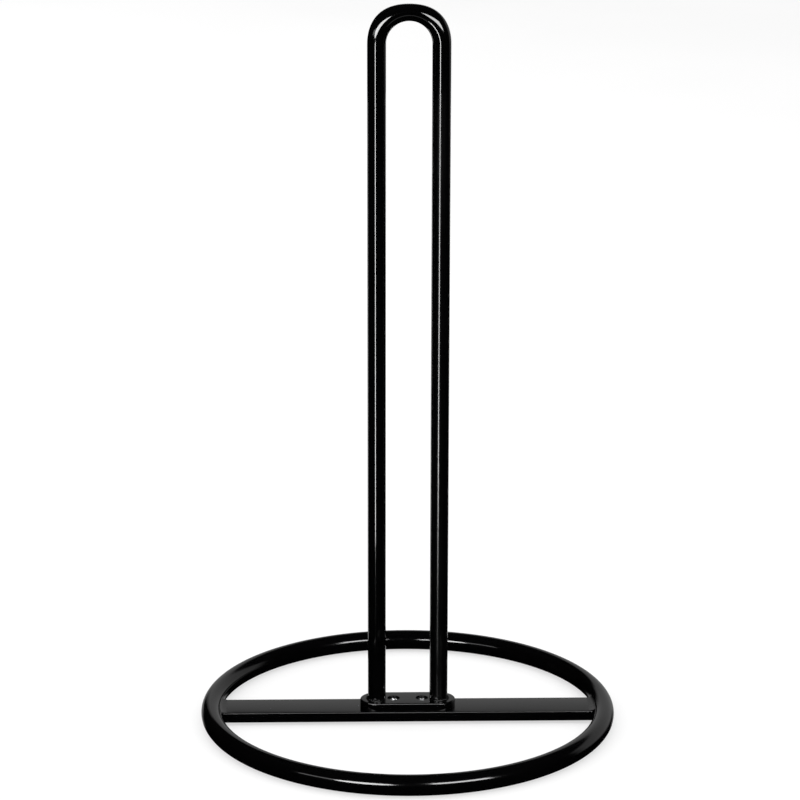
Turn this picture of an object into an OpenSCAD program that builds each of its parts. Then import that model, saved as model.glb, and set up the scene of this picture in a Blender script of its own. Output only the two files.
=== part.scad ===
// Free-standing paper towel holder: a hairpin upright of round steel rod, welded to a small
// foot plate that two countersunk screws hold on a flat bar across a round base ring.
// Millimetres, +Z up. The origin is the middle of the base, level with the table.
// The crossbar runs along X, and the two legs of the upright stand either side of the middle on it.

/* [Base ring] */
// Outside diameter of the ring
ring_outer_d = 183.5; // [140:0.5:240]
// Diameter of the rod the ring is rolled from
ring_rod_d = 9; // [6:0.5:14]

/* [Crossbar] */
// Width of the flat bar, front to back
bar_width = 17; // [12:0.5:30]
// Thickness of the flat bar
bar_thickness = 4.5; // [3:0.5:8]
// Gap between the table and the underside of the bar
bar_clearance = 1.25; // [0.5:0.25:3]
// Rounding along the long edges of the bar
bar_edge_r = 0.5; // [0.2:0.1:1]

/* [Foot plate] */
// Width of the foot plate, which is also the diameter of its round ends
foot_width = 14.8; // [11:0.2:24]
// Thickness of the foot plate
foot_thickness = 3.6; // [2.5:0.1:6]
// Rounding around the top edge of the foot plate
foot_edge_r = 0.7; // [0.3:0.1:1.2]

/* [Upright loop] */
// Diameter of the rod the loop is bent from
post_rod_d = 8; // [5:0.5:12]
// Distance between the centres of the two legs
leg_spacing = 27.4; // [20:0.2:36]
// Height of the whole holder, from the table to the top of the loop
total_height = 320; // [240:1:400]

/* [Screws] */
// Distance between the two screws
screw_spacing = 12.6; // [8:0.2:20]
// Outside diameter of the screw thread
thread_d = 3; // [2:0.5:5]
// Diameter of the countersunk head
head_d = 5.4; // [4:0.1:9]
// Depth of the head's face below the top of the foot plate
head_sink = 0.8; // [0:0.05:1]
// Length of the screw, head included
screw_length = 7.2; // [6:0.2:12]
// Distance across the cross recess, tip to tip
recess_span = 3; // [2:0.1:4]
// Thickness of one wing of the cross recess
recess_wing = 0.7; // [0.4:0.1:1.2]
// Depth of the cross recess
recess_depth = 1.4; // [0.8:0.1:2]

/* [Welds] */
// Size of the bead around the foot of each leg
leg_bead = 0.8; // [0.6:0.1:2]
// Angle of leg foot left bare on the side facing the screws
leg_bead_gap = 110; // [60:5:200]
// Radius of the smoothed weld where the bar meets the ring
bar_fillet_r = 2.4; // [1:0.2:4]
// Radius of the smoothed weld down each corner between bar and ring
corner_fillet_r = 1.6; // [1:0.2:3]

/* [Hidden] */
$fn = 96;
ring_facets = 384;
eps = 0.5;
running_gap = 0.03;
clear_gap = 0.2;
tip_chamfer = 0.4;
seam_overlap = 0.8;
seam_sink = 0.12;
fillet_steps = 4;

ring_rod_r = ring_rod_d / 2;
ring_r = ring_outer_d / 2 - ring_rod_r;
bar_top = bar_clearance + bar_thickness;
foot_top = bar_top + foot_thickness;
foot_r = foot_width / 2;
leg_x = leg_spacing / 2;
post_r = post_rod_d / 2;
bend_z = total_height - leg_x - post_r;
head_top = foot_top - head_sink;
head_r = head_d / 2;
thread_r = thread_d / 2;

// A fillet ball of radius r resting on the bar's top face and against the rod has its centre here.
function fillet_ball_x(r) =
    ring_r - sqrt(pow(ring_rod_r + r, 2) - pow(bar_top + r - ring_rod_r, 2));

enamel = [0.02, 0.02, 0.022];
weld_enamel = [0.025, 0.025, 0.027];
blackened_screw = [0.05, 0.05, 0.055];

// The full rod of the base ring, used both as the ring and to cope what is welded to it.
module ring_rod() {
    translate([0, 0, ring_rod_r])
        rotate_extrude($fn = ring_facets)
            translate([ring_r, 0])
                circle(r = ring_rod_r);
}

module base_ring() {
    color(enamel) ring_rod();
}

// Rectangle with all four corners rounded, centred on the origin.
module rounded_rectangle(w, h, r) {
    square([w - 2 * r, h], center = true);
    square([w, h - 2 * r], center = true);
    for (sx = [-1, 1], sy = [-1, 1])
        translate([sx * (w / 2 - r), sy * (h / 2 - r)])
            circle(r = r);
}

// The flat bar before its ends are shaped: rounded section, long enough to reach into the rod.
module bar_blank() {
    translate([-ring_r, 0, bar_clearance + bar_thickness / 2])
        rotate([90, 0, 90])
            linear_extrude(height = 2 * ring_r)
                rounded_rectangle(bar_width, bar_thickness, bar_edge_r);
}

// The bar's ends are hollowed to sit against the round rod, and it has two tapped holes.
module crossbar() {
    color(enamel)
        difference() {
            bar_blank();
            ring_rod();
            for (side = [-1, 1])
                translate([side * screw_spacing / 2, 0, 0])
                    cylinder(h = bar_top + eps, r = thread_r + running_gap);
        }
}

// Points along a fillet of radius r about a centre, from one angle to another. Its two ends are
// sunk a little into the metal that it joins.
function fillet_points(centre, r, from, to) = [
    for (i = [0:fillet_steps])
        let (
            a = from + (to - from) * i / fillet_steps,
            sink = i == 0 || i == fillet_steps ? seam_sink : 0
        )
        centre + (r + sink) * [cos(a), sin(a)]
];

// Weld metal on top of the bar, ground to a hollow curve that runs up onto the rod.
module top_seam() {
    ball = [fillet_ball_x(bar_fillet_r), bar_top + bar_fillet_r];
    rod_side = atan2(ring_rod_r - ball[1], ring_r - ball[0]);
    sweep = 2 * asin((bar_width / 2 + seam_overlap) / ball[0]) + 2;
    root = [
        [ring_r, bar_top + seam_overlap],
        [ring_r, bar_top - seam_overlap],
        [ball[0], bar_top - seam_overlap]
    ];
    intersection() {
        rotate([0, 0, -sweep / 2])
            rotate_extrude(angle = sweep, $fn = ring_facets)
                polygon(concat(fillet_points(ball, bar_fillet_r, -90, rod_side), root));
        translate([0, -bar_width / 2 - seam_overlap, 0])
            cube([ring_outer_d, bar_width + 2 * seam_overlap, ring_rod_d]);
    }
}

// Weld metal down one corner between the side of the bar and the inner face of the ring.
module corner_seam() {
    inner = ring_r - ring_rod_r;
    roller_y = bar_width / 2 + corner_fillet_r;
    roller = [sqrt(pow(inner - corner_fillet_r, 2) - pow(roller_y, 2)), roller_y];
    ring_side = atan2(roller[1], roller[0]);
    root = [
        [ring_r, roller_y],
        [ring_r, bar_width / 2 - seam_overlap],
        [roller[0], bar_width / 2 - seam_overlap]
    ];
    translate([0, 0, bar_clearance + bar_edge_r])
        linear_extrude(height = bar_thickness - bar_edge_r)
            polygon(concat(fillet_points(roller, corner_fillet_r, -90, ring_side), root));
}

// One weld runs down a corner, across the top of the bar and down the other corner.
module crossbar_weld() {
    difference() {
        union() {
            top_seam();
            corner_seam();
            mirror([0, 1, 0]) corner_seam();
        }
        bar_blank();
        ring_rod();
    }
}

module crossbar_weld_left() {
    color(weld_enamel) mirror([1, 0, 0]) crossbar_weld();
}

module crossbar_weld_right() {
    color(weld_enamel) crossbar_weld();
}

// Half of the foot plate's section, with its outer top edge rounded.
module foot_half_section() {
    square([foot_r - foot_edge_r, foot_thickness]);
    square([foot_r, foot_thickness - foot_edge_r]);
    translate([foot_r - foot_edge_r, foot_thickness - foot_edge_r])
        circle(r = foot_edge_r);
}

// Screw hole through the foot plate, with the taper that takes the head.
module countersunk_hole() {
    seat_r = head_r + running_gap;
    hole_r = thread_r + clear_gap;
    translate([0, 0, -eps])
        cylinder(h = foot_thickness + 2 * eps, r = hole_r);
    translate([0, 0, foot_thickness - head_sink - head_r])
        cylinder(h = head_r + running_gap, r1 = 0, r2 = seat_r);
    translate([0, 0, foot_thickness - head_sink])
        cylinder(h = head_sink + eps, r = seat_r);
}

// Long plate with round ends that share their centres with the legs.
module foot_plate() {
    color(enamel)
        translate([0, 0, bar_top])
            difference() {
                union() {
                    for (side = [-1, 1])
                        translate([side * leg_x, 0, 0])
                            rotate([0, 0, -90 * side])
                                rotate_extrude(angle = 180)
                                    foot_half_section();
                    for (side = [0, 1])
                        mirror([0, side, 0])
                            translate([-leg_x, 0, 0])
                                rotate([90, 0, 90])
                                    linear_extrude(height = leg_spacing)
                                        foot_half_section();
                }
                for (side = [-1, 1])
                    translate([side * screw_spacing / 2, 0, 0])
                        countersunk_hole();
            }
}

// One rod: two straight legs standing on the foot plate, and a half turn over the top.
module upright_loop() {
    color(enamel) {
        for (side = [-1, 1])
            translate([side * leg_x, 0, foot_top])
                cylinder(h = bend_z - foot_top, r = post_r);
        translate([0, 0, bend_z])
            rotate([90, 0, 0])
                rotate_extrude(angle = 180)
                    translate([leg_x, 0])
                        circle(r = post_r);
    }
}

// Bead around a leg's foot, open on the side that faces the screw.
module leg_weld() {
    arc = 360 - leg_bead_gap;
    translate([leg_x, 0, foot_top])
        rotate([0, 0, -arc / 2])
            rotate_extrude(angle = arc)
                translate([post_r, 0])
                    intersection() {
                        circle(r = leg_bead);
                        square(leg_bead);
                    }
}

module leg_weld_left() {
    color(weld_enamel) mirror([1, 0, 0]) leg_weld();
}

module leg_weld_right() {
    color(weld_enamel) leg_weld();
}

// Tapering cross-shaped socket for the screwdriver.
module cross_recess() {
    intersection() {
        for (turn = [0, 90])
            rotate([0, 0, turn])
                translate([-recess_span / 2, -recess_wing / 2, -recess_depth])
                    cube([recess_span, recess_wing, recess_depth + eps]);
        translate([0, 0, -recess_depth])
            cylinder(h = recess_depth + eps, r1 = recess_wing / 2, r2 = recess_span / 2 + eps / 2);
    }
}

// Countersunk machine screw with its face at the origin, pointing down.
module countersunk_screw() {
    shank_length = screw_length - tip_chamfer;
    difference() {
        union() {
            translate([0, 0, -head_r])
                cylinder(h = head_r, r1 = 0, r2 = head_r);
            translate([0, 0, -shank_length])
                cylinder(h = shank_length - head_r / 2, r = thread_r);
            translate([0, 0, -screw_length])
                cylinder(h = tip_chamfer, r1 = thread_r - tip_chamfer, r2 = thread_r);
        }
        cross_recess();
    }
}

module screw_left() {
    color(blackened_screw)
        translate([-screw_spacing / 2, 0, head_top])
            rotate([0, 0, 20])
                countersunk_screw();
}

module screw_right() {
    color(blackened_screw)
        translate([screw_spacing / 2, 0, head_top])
            rotate([0, 0, 35])
                countersunk_screw();
}

base_ring();
crossbar();
crossbar_weld_left();
crossbar_weld_right();
foot_plate();
upright_loop();
leg_weld_left();
leg_weld_right();
screw_left();
screw_right();
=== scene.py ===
import math

import bmesh
import bpy
from mathutils import Matrix, Vector, noise


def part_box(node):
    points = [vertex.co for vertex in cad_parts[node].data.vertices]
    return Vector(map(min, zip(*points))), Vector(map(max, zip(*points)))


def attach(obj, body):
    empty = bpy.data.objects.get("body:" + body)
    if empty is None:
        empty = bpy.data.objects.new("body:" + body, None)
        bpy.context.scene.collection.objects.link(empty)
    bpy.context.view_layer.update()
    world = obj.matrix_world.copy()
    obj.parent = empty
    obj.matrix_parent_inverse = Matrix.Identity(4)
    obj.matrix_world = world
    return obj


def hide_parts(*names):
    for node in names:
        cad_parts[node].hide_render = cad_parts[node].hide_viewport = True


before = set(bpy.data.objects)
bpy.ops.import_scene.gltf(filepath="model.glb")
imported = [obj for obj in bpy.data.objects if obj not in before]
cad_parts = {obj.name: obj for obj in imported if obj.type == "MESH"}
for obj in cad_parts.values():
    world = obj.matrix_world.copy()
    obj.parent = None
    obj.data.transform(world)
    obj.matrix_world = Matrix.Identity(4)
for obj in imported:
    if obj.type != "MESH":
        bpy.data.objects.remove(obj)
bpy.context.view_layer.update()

MM = 0.001

# ---------------------------------------------------------------- sizes, all from the CAD boxes
ring_low, ring_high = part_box("base_ring")
RING_ROD = (ring_high.z - ring_low.z) / 2
RING_R = (ring_high.x - ring_low.x) / 2 - RING_ROD
bar_low, bar_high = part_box("crossbar")
BAR_HALF = (bar_high.y - bar_low.y) / 2
foot_low, foot_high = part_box("foot_plate")
FOOT_R = (foot_high.y - foot_low.y) / 2
loop_low, loop_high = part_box("upright_loop")
POST_R = (loop_high.y - loop_low.y) / 2
LEG_X = (loop_high.x - loop_low.x) / 2 - POST_R
BEND_Z = loop_high.z - POST_R - LEG_X


# ---------------------------------------------------------------- mesh helpers
def new_object(name, bm, materials, smooth_angle):
    """Turns a bmesh into an object whose edges sharper than smooth_angle degrees stay crisp."""
    bmesh.ops.recalc_face_normals(bm, faces=bm.faces)
    mesh = bpy.data.meshes.new(name)
    bm.to_mesh(mesh)
    bm.free()
    for material in materials:
        mesh.materials.append(material)
    mesh.polygons.foreach_set("use_smooth", [True] * len(mesh.polygons))
    mesh.set_sharp_from_angle(angle=math.radians(smooth_angle))
    obj = bpy.data.objects.new(name, mesh)
    bpy.context.scene.collection.objects.link(obj)
    return obj


def add_loop(bm, points):
    return [bm.verts.new(p) for p in points]


def join_rows(bm, rows, material=0):
    """Quads from each closed row to the next, which has the same number of points."""
    for a, b in zip(rows, rows[1:]):
        for i in range(len(a)):
            j = (i + 1) % len(a)
            face = bm.faces.new((a[i], a[j], b[j], b[i]))
            face.material_index = material


def fan(bm, row, centre):
    """Closes a round loop of points with triangles to a middle point."""
    middle = bm.verts.new(centre)
    for i in range(len(row)):
        bm.faces.new((row[i], row[(i + 1) % len(row)], middle))


def fill_flat(bm, loops, material=0):
    """Fills one flat outline, less the outlines inside it."""
    edges = []
    for row in loops:
        for i in range(len(row)):
            pair = (row[i], row[(i + 1) % len(row)])
            edges.append(bm.edges.get(pair) or bm.edges.new(pair))
    made = bmesh.ops.triangle_fill(bm, edges=edges, use_beauty=True)
    for face in made["geom"]:
        if isinstance(face, bmesh.types.BMFace):
            face.material_index = material


def circle_points(x, z, radius, count):
    """Level circle about the point (x, 0, z)."""
    step = 2 * math.pi / count
    return [(x + radius * math.cos(i * step), radius * math.sin(i * step), z) for i in range(count)]


def bore(bm, x, profile, count):
    """Wall of a round hole at x, from (height, radius) pairs. Returns its lowest and highest rows."""
    wall = [add_loop(bm, circle_points(x, z, radius, count)) for z, radius in profile]
    join_rows(bm, wall)
    return wall[0], wall[-1]


def rounded_steps(low, high, low_round, high_round, low_count, high_count):
    """(height, inset) pairs up a wall whose lower and upper edges are both rounded."""
    steps = []
    for i in range(low_count + 1):
        a = math.pi / 2 * i / low_count
        steps.append((low + low_round * (1 - math.cos(a)), low_round * (1 - math.sin(a))))
    for i in range(high_count + 1):
        a = math.pi / 2 * i / high_count
        steps.append((high - high_round * (1 - math.sin(a)), high_round * (1 - math.cos(a))))
    return steps


def smooth_step(x):
    x = min(1.0, max(0.0, x))
    return x * x * (3 - 2 * x)


# ---------------------------------------------------------------- node helpers
class Nodes:
    """Short ways to add nodes to a tree and wire them up."""

    def __init__(self, tree):
        self.tree = tree
        tree.nodes.clear()

    def add(self, kind, inputs=None, **settings):
        node = self.tree.nodes.new(kind)
        for key, value in settings.items():
            setattr(node, key, value)
        for key, value in (inputs or {}).items():
            self.feed(node.inputs[key], value)
        return node

    def feed(self, socket, value):
        if isinstance(value, bpy.types.NodeSocket):
            self.tree.links.new(value, socket)
        else:
            socket.default_value = value

    def math(self, operation, a, b):
        return self.add("ShaderNodeMath", {0: a, 1: b}, operation=operation).outputs[0]

    def ramp(self, value, low, high, to_low=0.0, to_high=1.0):
        node = self.add(
            "ShaderNodeMapRange",
            {"Value": value, "From Min": low, "From Max": high, "To Min": to_low, "To Max": to_high},
            interpolation_type="SMOOTHSTEP",
        )
        return node.outputs["Result"]

    def noise(self, vector, scale, detail=3.0, roughness=0.5):
        node = self.add(
            "ShaderNodeTexNoise",
            {"Vector": vector, "Scale": scale, "Detail": detail, "Roughness": roughness},
        )
        return node.outputs["Fac"]

    def stretched(self, vector, scale):
        node = self.add("ShaderNodeMapping", {"Vector": vector, "Scale": scale})
        return node.outputs["Vector"]

    def bump(self, height, distance, normal=None):
        inputs = {"Height": height, "Distance": distance, "Strength": 1.0}
        if normal is not None:
            inputs["Normal"] = normal
        return self.add("ShaderNodeBump", inputs).outputs["Normal"]

    def mix_color(self, factor, a, b):
        node = self.add("ShaderNodeMix", data_type="RGBA")
        self.feed(node.inputs["Factor"], factor)
        self.feed(node.inputs[6], a)
        self.feed(node.inputs[7], b)
        return node.outputs[2]


def new_material(name):
    """A material, the helper for its nodes and its place in the piece's own coordinates."""
    material = bpy.data.materials.new(name)
    material.use_nodes = True
    n = Nodes(material.node_tree)
    return material, n, n.add("ShaderNodeTexCoord").outputs["Object"]


# ---------------------------------------------------------------- materials
BLACK = (0.0005, 0.0005, 0.0006)


def enamel(name, rough_low, rough_high, peel=1.0, rub=(1.0, 1.0, 1.0), dull_right_leg=0.0):
    """Stoved black enamel: slight orange peel, fine nibs, faint rub marks and a thin haze of dust.
    rub stretches the rub marks along the piece, and dull_right_leg roughens the loop's right leg."""
    material, n, place = new_material(name)

    peel_noise = n.noise(place, 620.0, 2.0, 0.45)
    fine_noise = n.noise(place, 5200.0, 2.0, 0.5)
    nib_cells = n.add(
        "ShaderNodeTexVoronoi", {"Vector": place, "Scale": 210.0, "Randomness": 1.0}, feature="F1"
    )
    nib_pick = n.ramp(nib_cells.outputs["Color"], 0.86, 0.90)
    nib = n.math("MULTIPLY", n.ramp(nib_cells.outputs["Distance"], 0.055, 0.0), nib_pick)
    rub_marks = n.noise(n.stretched(place, rub), 1400.0, 3.0, 0.6)
    patches = n.noise(place, 34.0, 4.0, 0.55)

    rub_mask = n.math("MULTIPLY", n.ramp(rub_marks, 0.58, 0.74), n.ramp(patches, 0.45, 0.65))
    rough = n.ramp(patches, 0.3, 0.7, rough_low, rough_high)
    rough = n.math("ADD", rough, n.math("MULTIPLY", rub_mask, 0.07))
    rough = n.math("ADD", rough, n.math("MULTIPLY", n.math("SUBTRACT", fine_noise, 0.5), 0.03))

    if dull_right_leg > 0:
        axes = n.add("ShaderNodeSeparateXYZ", {0: place})
        right_leg = n.math(
            "MULTIPLY",
            n.ramp(axes.outputs["X"], 0.0, 4 * MM),
            n.ramp(axes.outputs["Z"], BEND_Z - 4 * MM, BEND_Z - 30 * MM),
        )
        rough = n.math("ADD", rough, n.math("MULTIPLY", right_leg, dull_right_leg))

    dust = n.math("MULTIPLY", n.ramp(fine_noise, 0.66, 0.80), n.ramp(patches, 0.5, 0.72))
    worn = (*(c * 1.35 for c in BLACK), 1)
    dusty = (*(c * 2.2 + 0.0006 for c in BLACK), 1)
    color = n.mix_color(n.ramp(patches, 0.3, 0.7), (*BLACK, 1), worn)
    color = n.mix_color(n.math("MULTIPLY", dust, 0.6), color, dusty)

    peel_height, grain_height, nib_height = 9.0e-6 * peel, 0.5e-6, 10.0e-6
    normal = n.bump(peel_noise, peel_height)
    normal = n.bump(fine_noise, grain_height, normal)
    normal = n.bump(nib, nib_height, normal)
    shader = n.add(
        "ShaderNodeBsdfPrincipled",
        {"Base Color": color, "Roughness": rough, "Normal": normal, "IOR": 1.5},
    )
    n.add("ShaderNodeOutputMaterial", {"Surface": shader.outputs[0]})
    return material


def screw_steel(name, tint, rough, metal):
    """Screw steel with a fine grain and faint blotches."""
    material, n, place = new_material(name)
    grain = n.noise(place, 9000.0, 3.0, 0.6)
    blotch = n.noise(place, 1500.0, 3.0, 0.6)
    color = n.mix_color(n.ramp(blotch, 0.4, 0.7), (*tint, 1), (*(c * 1.8 for c in tint), 1))
    roughness = n.ramp(grain, 0.3, 0.7, rough * 0.8, rough * 1.25)
    grain_height, blotch_height = 1.5e-6, 4.0e-6
    normal = n.bump(grain, grain_height)
    normal = n.bump(blotch, blotch_height, normal)
    shader = n.add(
        "ShaderNodeBsdfPrincipled",
        {"Base Color": color, "Roughness": roughness, "Metallic": metal, "Normal": normal},
    )
    n.add("ShaderNodeOutputMaterial", {"Surface": shader.outputs[0]})
    return material


ring_paint = enamel("ring_enamel", 0.08, 0.12, peel=0.6)
bar_paint = enamel("bar_enamel", 0.10, 0.15, peel=1.0, rub=(0.06, 1.0, 1.0))
foot_paint = enamel("foot_enamel", 0.12, 0.17, peel=0.8)
loop_paint = enamel(
    "loop_enamel", 0.05, 0.08, peel=0.25, rub=(1.0, 1.0, 0.05), dull_right_leg=0.09
)
weld_paint = enamel("weld_enamel", 0.10, 0.14, peel=1.0)
screw_black = screw_steel("screw_black", (0.012, 0.012, 0.013), 0.28, 0.6)
screw_bright = screw_steel("screw_bright", (0.55, 0.55, 0.56), 0.30, 1.0)


# ---------------------------------------------------------------- base ring
def build_ring():
    """Ring rolled from round rod. Its butt weld is ground away."""
    around, section = 720, 56
    bm = bmesh.new()
    rows = []
    for i in range(around):
        a = 2 * math.pi * i / around
        out = Vector((math.cos(a), math.sin(a), 0))
        middle = out * RING_R + Vector((0, 0, ring_low.z + RING_ROD))
        row = []
        for k in range(section):
            t = 2 * math.pi * k / section
            row.append(middle + (out * math.cos(t) + Vector((0, 0, math.sin(t)))) * RING_ROD)
        rows.append(add_loop(bm, row))
    join_rows(bm, [*rows, rows[0]])
    ring = new_object("ring_rod", bm, [ring_paint], 60)
    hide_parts("base_ring")
    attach(ring, "root")


# ---------------------------------------------------------------- upright loop
CROWN_FLATTENING = 0.19
SHOULDER_SWELL = 0.15


def bend_stretch(angle):
    """How far the outside of the bend stands out, as a share of the rod's own radius. Bending has
    pressed it flat at the crown and pushed it out a little at the shoulders."""
    return 1 - CROWN_FLATTENING * math.sin(angle) ** 4 + SHOULDER_SWELL * math.sin(2 * angle) ** 2


def build_loop():
    """One rod: a straight leg, the half-turn bend and the other leg."""
    section, leg_steps, bend_steps = 64, 60, 120
    heights = [loop_low.z + (BEND_Z - loop_low.z) * i / leg_steps for i in range(leg_steps)]
    right, up = Vector((1, 0, 0)), Vector((0, 0, 1))
    stations = [(right * LEG_X + up * z, right, 1.0) for z in heights]
    for i in range(bend_steps + 1):
        a = math.pi * i / bend_steps
        out = right * math.cos(a) + up * math.sin(a)
        stations.append((out * LEG_X + up * BEND_Z, out, bend_stretch(a)))
    stations += [(up * z - right * LEG_X, -right, 1.0) for z in reversed(heights)]
    bm = bmesh.new()
    rows = []
    for centre, out, stretch in stations:
        row = []
        for k in range(section):
            t = 2 * math.pi * k / section
            across = math.cos(t) * (stretch if math.cos(t) > 0 else 1.0)
            row.append(centre + (out * across + Vector((0, math.sin(t), 0))) * POST_R)
        rows.append(add_loop(bm, row))
    join_rows(bm, rows)
    fan(bm, rows[0], (LEG_X, 0, loop_low.z))
    fan(bm, rows[-1], (-LEG_X, 0, loop_low.z))
    loop = new_object("loop_rod", bm, [loop_paint], 60)
    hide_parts("upright_loop")
    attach(loop, "root")
    return loop


# ---------------------------------------------------------------- crossbar
SCREWS = ("screw_left", "screw_right")
BAR_EDGE = 0.5 * MM
TAPPED_R = 1.55 * MM


def screw_axis(node):
    low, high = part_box(node)
    return (low.x + high.x) / 2


def ring_face_x(y, z):
    """Where a line along X, at this y and z, meets the inner face of the ring's rod."""
    lift = z - ring_low.z - RING_ROD
    radial = RING_R - math.sqrt(max(0.0, RING_ROD**2 - lift**2))
    return math.sqrt(max(0.0, radial**2 - y**2))


def build_crossbar():
    """Flat bar with softened edges, ends let into the ring and two tapped holes."""
    sunk = 0.35 * MM
    chamfer = 0.3 * MM
    edge_steps, long_points, end_points, hole_points = 6, 48, 16, 48
    bm = bmesh.new()
    rows = []
    heights = rounded_steps(bar_low.z, bar_high.z, BAR_EDGE, BAR_EDGE, edge_steps, edge_steps)
    for z, inset in heights:
        half = BAR_HALF - inset
        points = []
        for side in (1, -1):
            for i in range(end_points):
                y = side * (-half + 2 * half * i / end_points)
                points.append((side * (ring_face_x(y, z) + sunk), y, z))
            for i in range(long_points):
                y = side * half
                reach = ring_face_x(y, z) + sunk
                points.append((side * reach * (1 - 2 * i / long_points), y, z))
        rows.append(add_loop(bm, points))
    join_rows(bm, rows)
    low_holes, high_holes = [], []
    for node in SCREWS:
        profile = [
            (bar_low.z, TAPPED_R + chamfer),
            (bar_low.z + chamfer, TAPPED_R),
            (bar_high.z - chamfer / 2, TAPPED_R),
            (bar_high.z, TAPPED_R + chamfer / 2),
        ]
        lowest, highest = bore(bm, screw_axis(node), profile, hole_points)
        low_holes.append(lowest)
        high_holes.append(highest)
    fill_flat(bm, [rows[0], *low_holes])
    fill_flat(bm, [rows[-1], *high_holes])
    bar = new_object("flat_bar", bm, [bar_paint], 35)
    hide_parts("crossbar")
    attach(bar, "root")
    return bar


# ---------------------------------------------------------------- foot plate
CLEARANCE_R = 1.7 * MM
HEAD_GAP = 0.04 * MM


def obround(inset, z):
    """Outline of the foot plate, drawn in from its edge by inset."""
    end_points, side_points = 40, 12
    radius = FOOT_R - inset
    points = []
    for side in (1, -1):
        for i in range(end_points):
            a = -math.pi / 2 + math.pi * i / end_points
            points.append((side * (LEG_X + radius * math.cos(a)), side * radius * math.sin(a), z))
        for i in range(side_points):
            points.append((side * LEG_X * (1 - 2 * i / side_points), side * radius, z))
    return points


def build_foot_plate():
    """Obround plate with a rounded top edge. Its countersinks hold the screws' heads below its face."""
    bottom_break, top_round, hole_break = 0.2 * MM, 0.7 * MM, 0.06 * MM
    break_steps, round_steps, hole_points = 3, 8, 64
    bm = bmesh.new()
    steps = rounded_steps(
        foot_low.z, foot_high.z, bottom_break, top_round, break_steps, round_steps
    )
    rows = [add_loop(bm, obround(inset, z)) for z, inset in steps]
    join_rows(bm, rows)
    low_holes, high_holes = [], []
    for node in SCREWS:
        low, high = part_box(node)
        seat_r = (high.y - low.y) / 2 + HEAD_GAP
        profile = [
            (foot_low.z, CLEARANCE_R),
            (high.z - seat_r + CLEARANCE_R, CLEARANCE_R),
            (high.z, seat_r),
            (foot_high.z - hole_break, seat_r),
            (foot_high.z, seat_r + hole_break),
        ]
        lowest, highest = bore(bm, screw_axis(node), profile, hole_points)
        low_holes.append(lowest)
        high_holes.append(highest)
    fill_flat(bm, [rows[0], *low_holes])
    fill_flat(bm, [rows[-1], *high_holes])
    plate = new_object("foot_flange", bm, [foot_paint], 35)
    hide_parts("foot_plate")
    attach(plate, "root")
    return plate


# ---------------------------------------------------------------- screws
THREAD_R = 1.5 * MM
THREAD_PITCH = 0.5 * MM
THREAD_DEPTH = 0.28 * MM
HEAD_EDGE = 0.1 * MM
TIP_CHAMFER = 0.35 * MM
TIP_R = THREAD_R - 0.4 * MM

# The cross recess from its mouth down: depth, reach of a wing and half a wing's width, in mm.
RECESS = [
    (0.0, 1.56, 0.43),
    (0.07, 1.50, 0.37),
    (0.7, 1.05, 0.30),
    (1.25, 0.62, 0.24),
    (1.4, 0.40, 0.18),
]
RECESS_FILLET = 0.16 * MM


def cross_outline(x, z, reach, wing, turn):
    """Outline of a cross recess: four wings with small fillets between them."""
    corner = RECESS_FILLET
    points = []
    for quarter in range(4):
        local = [
            (reach * 0.96, -wing),
            (reach, -wing * 0.5),
            (reach, wing * 0.5),
            (reach * 0.96, wing),
            (wing + corner, wing),
            (wing + corner * 0.3, wing + corner * 0.3),
        ]
        a = turn + quarter * math.pi / 2
        for px, py in local:
            y = px * math.sin(a) + py * math.cos(a)
            points.append((x + px * math.cos(a) - py * math.sin(a), y, z))
    return points


def thread_rows(bm, x, start, end, around):
    """Rows down a rolled thread, whose groove fades in at the top and out at the tip."""
    steps_per_turn, fade_steps, flat = 10, 8, 0.12
    count = int((start - end) / (THREAD_PITCH / steps_per_turn))
    rows = []
    for i in range(count + 1):
        z = start + (end - start) * i / count
        fade = smooth_step(i / fade_steps) * smooth_step((count - i) / fade_steps)
        row = []
        for k in range(around):
            a = 2 * math.pi * k / around
            phase = (z / THREAD_PITCH - k / around) % 1.0
            groove = 1 - abs(2 * phase - 1)
            groove = min(1.0, max(0.0, (groove - flat) / (1 - 2 * flat)))
            radius = THREAD_R - THREAD_DEPTH * groove * fade
            row.append((x + radius * math.cos(a), radius * math.sin(a), z))
        rows.append(add_loop(bm, row))
    return rows


def build_screw(name, node, turn):
    """Countersunk machine screw with a cross recess and a rolled thread."""
    x = screw_axis(node)
    low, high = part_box(node)
    head_r = (high.y - low.y) / 2
    top, tip, neck = high.z, low.z, high.z - head_r + THREAD_R
    around = 96
    head = [
        (top, head_r - 2 * HEAD_EDGE),
        (top - HEAD_EDGE * 0.3, head_r - HEAD_EDGE),
        (top - HEAD_EDGE, head_r - HEAD_EDGE * 0.4),
        (top - 2.2 * HEAD_EDGE, head_r - 2.2 * HEAD_EDGE),
        (neck, THREAD_R),
    ]
    bm = bmesh.new()
    rows = [add_loop(bm, circle_points(x, z, radius, around)) for z, radius in head]
    rows += thread_rows(bm, x, neck - HEAD_EDGE, tip + TIP_CHAMFER, around)
    rows.append(add_loop(bm, circle_points(x, tip, TIP_R, around)))
    join_rows(bm, rows)
    fan(bm, rows[-1], (x, 0, tip))
    walls = [
        add_loop(bm, cross_outline(x, top - depth * MM, reach * MM, wing * MM, turn))
        for depth, reach, wing in RECESS
    ]
    join_rows(bm, walls, material=1)
    fill_flat(bm, [walls[-1]], material=1)
    fill_flat(bm, [rows[0], walls[0]])
    screw = new_object(name, bm, [screw_black, screw_bright], 30)
    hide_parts(node)
    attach(screw, "root")
    return screw


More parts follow.
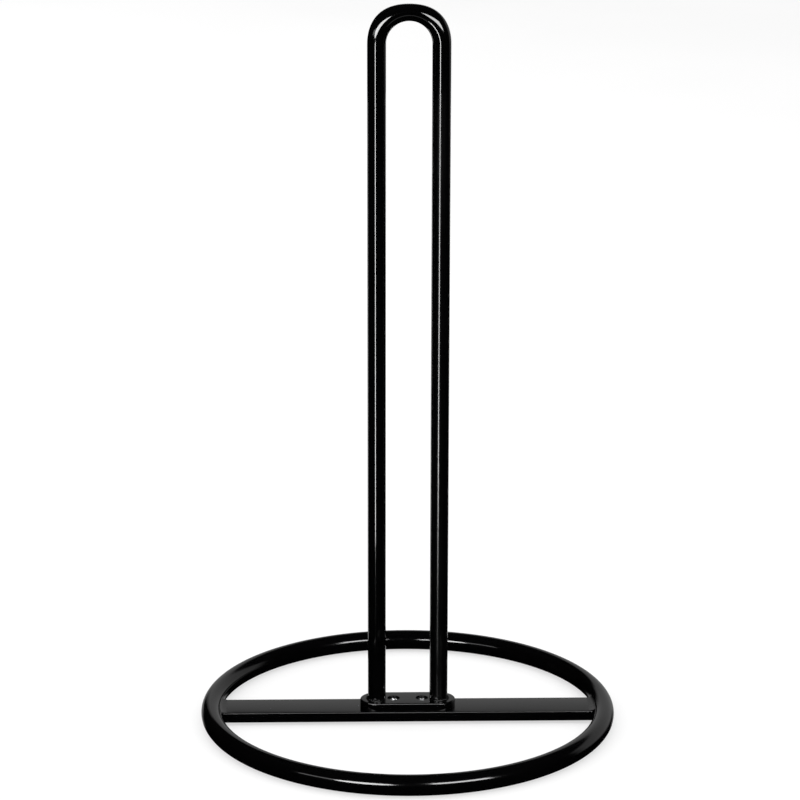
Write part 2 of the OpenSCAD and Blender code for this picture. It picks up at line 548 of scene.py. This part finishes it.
# ---------------------------------------------------------------- welds
def finish_weld(name, node, bm, rows):
    """Joins the rows of a weld, closes its two ends and stands it in for its CAD node."""
    join_rows(bm, rows)
    for row in (rows[0], rows[-1]):
        bm.faces.new(row)
    weld = new_object(name, bm, [weld_paint], 70)
    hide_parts(node)
    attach(weld, "root")


def build_leg_weld(name, node, side):
    """Rippled bead around the outer side of a leg's foot, tapering out towards the screw."""
    low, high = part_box(node)
    bead = high.z - low.z
    middle = Vector((side * LEG_X, 0, low.z))
    arc = math.radians(250)
    pitch, end_taper = 1.3 * MM, 0.9 * MM
    into_leg, into_plate, toe = 0.25 * MM, 0.15 * MM, 0.1 * MM
    blunt_end, valley = 0.15, 0.62
    stations, section = 260, 12
    length = arc * (POST_R + bead / 2)
    bm = bmesh.new()
    rows = []
    for i in range(stations + 1):
        s = i / stations
        a = -arc / 2 + arc * s
        out = Vector((side * math.cos(a), math.sin(a), 0))
        from_end = min(1.0, min(s, 1 - s) * length / end_taper)
        taper = math.sqrt(max(0.0, 1 - (1 - from_end) ** 2)) * (1 - blunt_end) + blunt_end
        row = [middle + out * (POST_R - into_leg) - Vector((0, 0, into_plate))]
        for k in range(section + 1):
            t = math.pi / 2 * k / section
            lag = 0.45 * math.sin(2 * t)
            wander = 0.25 * noise.noise(Vector((s * 9, side * 3.0, 0)))
            phase = s * length / pitch + lag + wander
            ripple = abs(math.sin(math.pi * phase)) ** 0.7
            swell = 1 + 0.05 * noise.noise(Vector((s * 14, t * 2, side * 5.0)))
            b = bead * taper * min(1.0, swell * (valley + (1 - valley) * ripple))
            row.append(middle + out * (POST_R + b * math.cos(t)) + Vector((0, 0, b * math.sin(t))))
        row.append(row[-1] - out * into_leg)
        row[1] = row[1] - Vector((0, 0, toe))
        rows.append(add_loop(bm, row))
    finish_weld(name, node, bm, rows)


def bar_path():
    """Points and outward directions up one side of the bar, over its top and down the other."""
    above_bottom = 0.6 * MM
    side_steps, edge_steps, top_steps = 9, 8, 32
    low, high, half, r = bar_low.z + above_bottom, bar_high.z, BAR_HALF, BAR_EDGE
    rise = []
    for i in range(side_steps):
        rise.append((-half, low + (high - r - low) * i / side_steps, -1.0, 0.0))
    for i in range(edge_steps + 1):
        a = math.pi / 2 * i / edge_steps
        y, z = -half + r * (1 - math.cos(a)), high - r * (1 - math.sin(a))
        rise.append((y, z, -math.cos(a), math.sin(a)))
    width = 2 * half - 2 * r
    across = [(-half + r + width * i / top_steps, high, 0.0, 1.0) for i in range(1, top_steps)]
    fall = [(-y, z, -ny, nz) for y, z, ny, nz in reversed(rise)]
    return rise + across + fall


def build_bar_weld(name, node, side):
    """Weld between bar and ring, dressed to a smooth hollow that runs from one into the other."""
    into_bar, into_ring, bite = 0.25 * MM, 0.5 * MM, 0.02 * MM
    curve_steps = 12
    bm = bmesh.new()
    rows = []
    for y, z, ny, nz in bar_path():
        wander = noise.noise(Vector((y * 900, z * 900, side * 2.0)))
        # Both legs of the fillet are in mm, and are longest on the bar's top, where nz is 1.
        along = (1.9 + 0.7 * nz + 0.12 * wander) * MM
        up = (1.1 + 0.9 * nz + 0.08 * wander) * MM
        base = Vector((side * ring_face_x(y, z), y, z))
        start = base - Vector((side * along, 0, 0))
        top_y, top_z = y + ny * up, z + nz * up
        end = Vector((side * (ring_face_x(top_y, top_z) + bite), top_y, top_z))
        row = []
        for k in range(curve_steps + 1):
            t = k / curve_steps
            row.append(start * (1 - t) ** 2 + base * (2 * t * (1 - t)) + end * t**2)
        inward = Vector((0, ny, nz)) * into_bar
        deeper = Vector((side * into_ring, 0, 0))
        row[0] = row[0] - inward * 0.12
        row.append(end + deeper)
        row.append(base + deeper - inward)
        row.append(start - inward)
        rows.append(add_loop(bm, row))
    finish_weld(name, node, bm, rows)


loop = build_loop()
build_ring()
bar = build_crossbar()
foot = build_foot_plate()
screws = [
    build_screw("machine_screw_left", "screw_left", math.radians(20)),
    build_screw("machine_screw_right", "screw_right", math.radians(35)),
]
build_leg_weld("leg_bead_left", "leg_weld_left", -1)
build_leg_weld("leg_bead_right", "leg_weld_right", 1)
build_bar_weld("bar_seam_left", "crossbar_weld_left", -1)
build_bar_weld("bar_seam_right", "crossbar_weld_right", 1)


# ---------------------------------------------------------------- studio
def build_floor():
    """Wide pale floor that shows a soft shadow and can be looked through from below. Part of its
    brightness is its own glow. It isn't seen in reflections and blocks no lamp's light."""
    size, below_ring, glow_share = 30.0, 0.2 * MM, 0.62
    bm = bmesh.new()
    corners = [(-size, -size, 0), (size, -size, 0), (size, size, 0), (-size, size, 0)]
    bm.faces.new(add_loop(bm, corners))
    material, n, place = new_material("floor_white")
    tone = n.ramp(n.noise(place, 2.0, 2.0), 0.3, 0.7, 0.975, 1.0)
    color = n.add("ShaderNodeCombineColor", {0: tone, 1: tone, 2: tone}).outputs[0]
    matte = n.add("ShaderNodeBsdfDiffuse", {"Color": color})
    glow = n.add("ShaderNodeEmission", {"Color": color, "Strength": 1.0})
    surface = n.add("ShaderNodeMixShader", {0: glow_share, 1: matte.outputs[0], 2: glow.outputs[0]})
    clear = n.add("ShaderNodeBsdfTransparent")
    below = n.add("ShaderNodeNewGeometry").outputs["Backfacing"]
    mixed = n.add("ShaderNodeMixShader", {0: below, 1: surface.outputs[0], 2: clear.outputs[0]})
    n.add("ShaderNodeOutputMaterial", {"Surface": mixed.outputs[0]})
    mesh = bpy.data.meshes.new("studio_floor")
    bm.normal_update()
    bm.to_mesh(mesh)
    bm.free()
    mesh.materials.append(material)
    floor = bpy.data.objects.new("studio_floor", mesh)
    bpy.context.scene.collection.objects.link(floor)
    floor.location.z = -below_ring
    floor.visible_glossy = False
    floor.visible_shadow = False


def build_world():
    """White room to the eye and to the floor. In the gloss, a dark studio that is dimly lit above."""
    world = bpy.data.worlds.new("studio")
    bpy.context.scene.world = world
    world.use_nodes = True
    world.cycles.sampling_method = "NONE"
    room_strength = 1.3
    n = Nodes(world.node_tree)
    look = n.add("ShaderNodeTexCoord").outputs["Generated"]
    height = n.add("ShaderNodeSeparateXYZ", {0: look}).outputs["Z"]
    dim_dome = n.ramp(height, -0.1, 0.5, 0.001, 0.006)
    overhead = n.ramp(height, 0.6, 0.95, 0.0, 0.01)
    dome = n.math("ADD", dim_dome, overhead)
    white = (1, 1, 1, 1)
    room = n.add("ShaderNodeBackground", {"Color": white, "Strength": room_strength})
    studio = n.add("ShaderNodeBackground", {"Color": white, "Strength": dome})
    glossy = n.add("ShaderNodeLightPath").outputs["Is Glossy Ray"]
    mixed = n.add("ShaderNodeMixShader", {0: glossy, 1: room.outputs[0], 2: studio.outputs[0]})
    n.add("ShaderNodeOutputWorld", {"Surface": mixed.outputs[0]})


def soft_box(name, azimuth, distance, height, size_x, size_z, brightness, shape="RECTANGLE", only=None):
    """Soft box standing upright and facing the object. Azimuth 0 is the viewer's side and positive
    is to the viewer's right; height is that of its middle. It shows only in the gloss, because the
    white room lights what is matt, and it lights every piece or only those of a collection."""
    a = math.radians(azimuth)
    away = Vector((math.sin(a), -math.cos(a), 0))
    data = bpy.data.lights.new(name, "AREA")
    data.shape = shape
    data.size, data.size_y = size_x, size_z
    data.energy = brightness * math.pi * size_x * size_z
    lamp = bpy.data.objects.new(name, data)
    bpy.context.scene.collection.objects.link(lamp)
    lamp.location = away * distance + Vector((0, 0, height))
    lamp.rotation_euler = away.to_track_quat("Z", "Y").to_euler()
    lamp.visible_camera = False
    lamp.visible_diffuse = False
    lamp.light_linking.receiver_collection = only


def soft_wall(name, azimuth, distance, height, size_x, size_z, fade, brightness):
    """Wall with soft edges: boxes of growing size, each a little farther off than the last."""
    layers, step_back = 10, 0.05
    for i in range(layers):
        grow = fade * (i / (layers - 1) - 0.5)
        place = (azimuth, distance + step_back * i, height)
        soft_box(f"{name}_{i}", *place, size_x + grow, size_z + grow / 3, brightness / layers)


def collection(name, pieces):
    """Group of pieces for a lamp to be held to."""
    made = bpy.data.collections.new(name)
    for piece in pieces:
        made.objects.link(piece)
    return made


def build_lights():
    """The soft boxes at the viewer's left and right, the wall behind and the low panel behind light
    every piece. The rest stand in for what the table throws back at the upright, and for a lamp
    above the bar, foot plate and screws."""
    soft_box("key_left", -24, 0.96, 0.39, 0.54, 0.30, 15, "ELLIPSE")
    soft_box("side_left", -46, 0.96, 0.42, 0.52, 0.13, 2.5)
    soft_box("key_right", 28, 0.90, 0.53, 0.53, 0.27, 15)
    soft_wall("wall_behind", 150, 2.4, 0.75, 5.6, 1.9, 3.2, 0.42)
    soft_wall("table_behind", 180, 3.0, -0.80, 3.4, 1.2, 1.2, 0.36)

    only_upright = collection("upright_pieces", [loop])
    soft_box("strip_front", -17.5, 1.0, -0.04, 0.10, 0.42, 26, only=only_upright)
    soft_box("strip_back_right", 150, 1.0, -0.20, 0.12, 0.60, 2.5, only=only_upright)
    soft_box("strip_back_left", -140, 1.0, -0.20, 0.12, 0.60, 2.5, only=only_upright)
    soft_box("table_glow", 5, 1.0, -0.58, 1.2, 0.26, 0.5, only=only_upright)
    only_plates = collection("plate_pieces", [bar, foot, *screws])
    soft_box("above_plates", -28, 0.6, 0.95, 1.4, 0.5, 9, only=only_plates)


def build_camera():
    """Long lens that looks down at the front of the holder."""
    place = (-0.03264, -1.2728, 0.5098)
    tilt, swing, roll = math.radians(15.898), math.radians(-1.306), math.radians(0.099)
    data = bpy.data.cameras.new("camera")
    data.sensor_width = 36.0
    data.lens = 137.61
    data.clip_start, data.clip_end = 0.05, 100.0
    camera = bpy.data.objects.new("camera", data)
    bpy.context.scene.collection.objects.link(camera)
    turn = (
        Matrix.Rotation(swing, 4, "Z")
        @ Matrix.Rotation(math.pi / 2 - tilt, 4, "X")
        @ Matrix.Rotation(roll, 4, "Z")
    )
    camera.matrix_world = Matrix.Translation(place) @ turn
    bpy.context.scene.camera = camera


build_floor()
build_world()
build_lights()
build_camera()
bpy.context.scene.view_settings.view_transform = "Standard"
